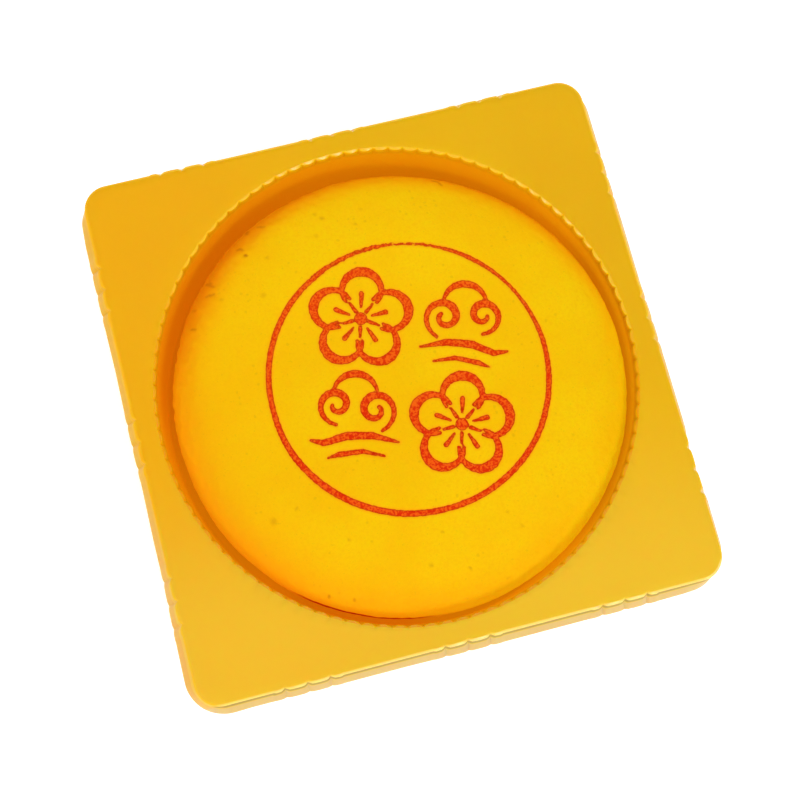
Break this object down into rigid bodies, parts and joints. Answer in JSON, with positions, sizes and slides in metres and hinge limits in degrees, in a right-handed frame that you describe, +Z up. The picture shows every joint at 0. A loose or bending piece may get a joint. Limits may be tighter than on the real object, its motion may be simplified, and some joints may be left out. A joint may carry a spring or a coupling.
{
  "type": "stamped mooncake in a moulded tray",
  "caption": "Round thick mooncake with a low dome and a red ring stamp, lying in the round ribbed cup of a thin square moulded tray.",
  "frame": {"origin": "middle of the footprint at the base of the tray's cup", "axes": "+Z up, X and Y along the sides of the square tray"},
  "size_m": [0.0954, 0.0966, 0.0201],
  "materials": {
    "tray_sheet": "satin golden sheet",
    "cake_skin": "soft baked yellow skin with a red stamp"
  },
  "bodies": {
    "root": {"tray": "tray_sheet", "mooncake": "cake_skin"}
  },
  "joints": []
}
